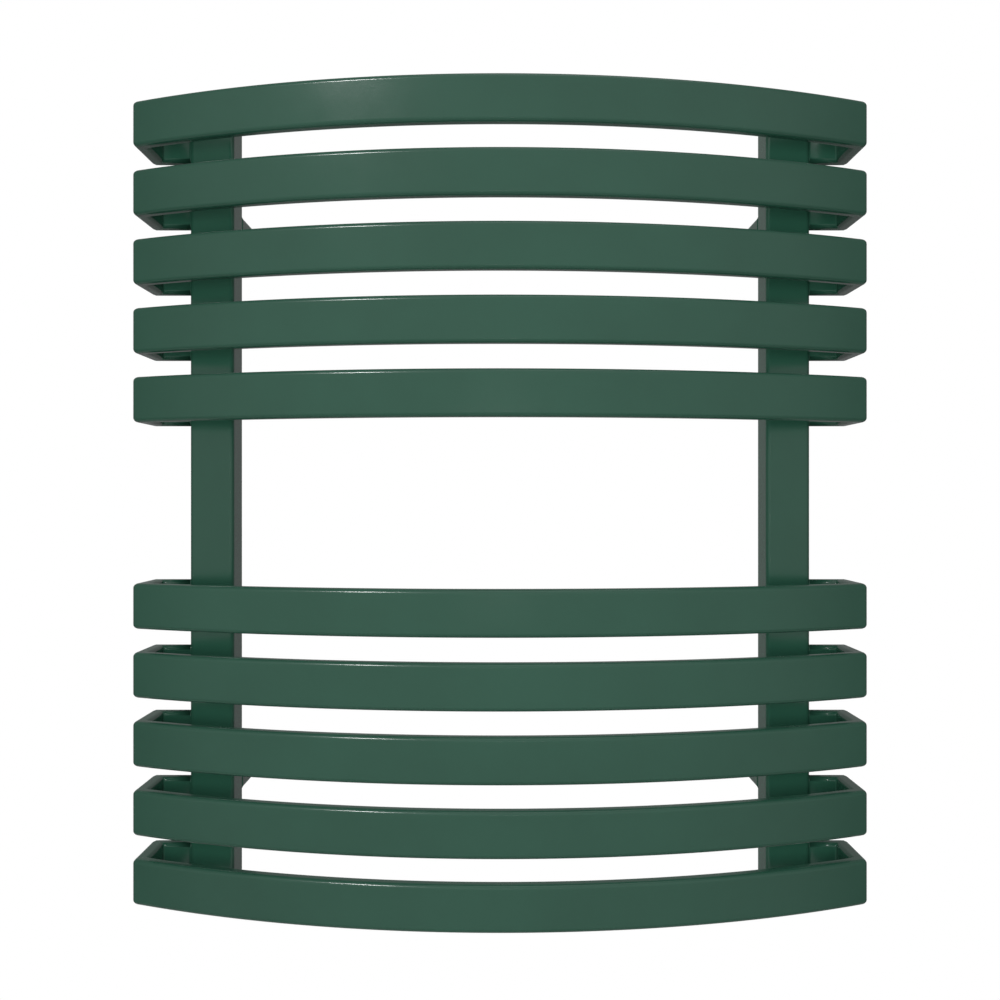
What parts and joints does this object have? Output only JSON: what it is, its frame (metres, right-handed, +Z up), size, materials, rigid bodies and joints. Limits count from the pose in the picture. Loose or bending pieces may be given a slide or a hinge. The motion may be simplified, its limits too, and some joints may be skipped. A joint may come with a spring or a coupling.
{
  "type": "heated towel rail",
  "caption": "Wall-hung bowed towel radiator: square collectors carry flat bowed tubes in an upper and a lower group, on sleeve brackets that slide on wall carriers.",
  "frame": {"origin": "centre of the wall-fixing pattern, on the wall's surface", "axes": "+X to the right seen from the room, +Y into the wall, +Z up"},
  "size_m": [0.485, 0.16, 0.5654],
  "materials": {
    "powder_coat": "satin-gloss dark green powder coat",
    "zinc_steel": "zinc-plated",
    "dark_steel": "black oxide",
    "bright_plating": "polished nickel plating",
    "brass": "turned",
    "seal_rubber": "matt",
    "pad_plastic": "fine matt",
    "outlet_plastic": "fine matt"
  },
  "bodies": {
    "wall_brackets": {"upper_left_wall_carrier": "zinc_steel", "upper_right_wall_carrier": "zinc_steel", "lower_left_wall_carrier": "zinc_steel", "lower_right_wall_carrier": "zinc_steel", "upper_left_wall_pad": "pad_plastic", "upper_right_wall_pad": "pad_plastic", "lower_left_wall_pad": "pad_plastic", "lower_right_wall_pad": "pad_plastic"},
    "rail": {"left_collector": "powder_coat", "left_top_socket": "powder_coat", "left_bottom_socket": "powder_coat", "right_collector": "powder_coat", "right_top_socket": "powder_coat", "right_bottom_socket": "powder_coat", "rung_01_bow": "powder_coat", "rung_01_left_return": "powder_coat", "rung_01_right_return": "powder_coat", "rung_02_bow": "powder_coat", "rung_02_left_return": "powder_coat", "rung_02_right_return": "powder_coat", "rung_03_bow": "powder_coat", "rung_03_left_return": "powder_coat", "rung_03_right_return": "powder_coat", "rung_04_bow": "powder_coat", "rung_04_left_return": "powder_coat", "rung_04_right_return": "powder_coat", "rung_05_bow": "powder_coat", "rung_05_left_return": "powder_coat", "rung_05_right_return": "powder_coat", "rung_06_bow": "powder_coat", "rung_06_left_return": "powder_coat", "rung_06_right_return": "powder_coat", "rung_07_bow": "powder_coat", "rung_07_left_return": "powder_coat", "rung_07_right_return": "powder_coat", "rung_08_bow": "powder_coat", "rung_08_left_return": "powder_coat", "rung_08_right_return": "powder_coat", "rung_09_bow": "powder_coat", "rung_09_left_return": "powder_coat", "rung_09_right_return": "powder_coat", "rung_10_bow": "powder_coat", "rung_10_left_return": "powder_coat", "rung_10_right_return": "powder_coat", "upper_left_sleeve": "powder_coat", "upper_right_sleeve": "powder_coat", "lower_left_sleeve": "powder_coat", "lower_right_sleeve": "powder_coat", "blanking_plug": "bright_plating", "blanking_plug_seal": "seal_rubber", "air_vent_body": "bright_plating", "air_vent_seal": "seal_rubber"},
    "bleed_screw": {"bleed_screw": "brass"},
    "vent_outlet": {"vent_outlet": "outlet_plastic"},
    "upper_left_grub": {"upper_left_grub_screw": "dark_steel"},
    "upper_right_grub": {"upper_right_grub_screw": "dark_steel"},
    "lower_left_grub": {"lower_left_grub_screw": "dark_steel"},
    "lower_right_grub": {"lower_right_grub_screw": "dark_steel"}
  },
  "joints": [
    {"name": "rail_depth", "type": "slide", "parent": "wall_brackets", "child": "rail", "axis": [0, -1, 0], "range_m": [0, 0.012]},
    {"name": "bleed_turn", "type": "hinge", "parent": "rail", "child": "bleed_screw", "pos_m": [0.1985, -0.056, 0.28], "axis": [0, 0, 1], "range_deg": [0, 180]},
    {"name": "outlet_swivel", "type": "hinge", "parent": "rail", "child": "vent_outlet", "pos_m": [0.1985, -0.056, 0.284], "axis": [0, 0, 1], "continuous": true},
    {"name": "upper_left_grub_travel", "type": "slide", "parent": "rail", "child": "upper_left_grub", "axis": [0, 0, -1], "range_m": [0, 0.0015]},
    {"name": "upper_right_grub_travel", "type": "slide", "parent": "rail", "child": "upper_right_grub", "axis": [0, 0, -1], "range_m": [0, 0.0015]},
    {"name": "lower_left_grub_travel", "type": "slide", "parent": "rail", "child": "lower_left_grub", "axis": [0, 0, -1], "range_m": [0, 0.0015]},
    {"name": "lower_right_grub_travel", "type": "slide", "parent": "rail", "child": "lower_right_grub", "axis": [0, 0, -1], "range_m": [0, 0.0015]}
  ]
}
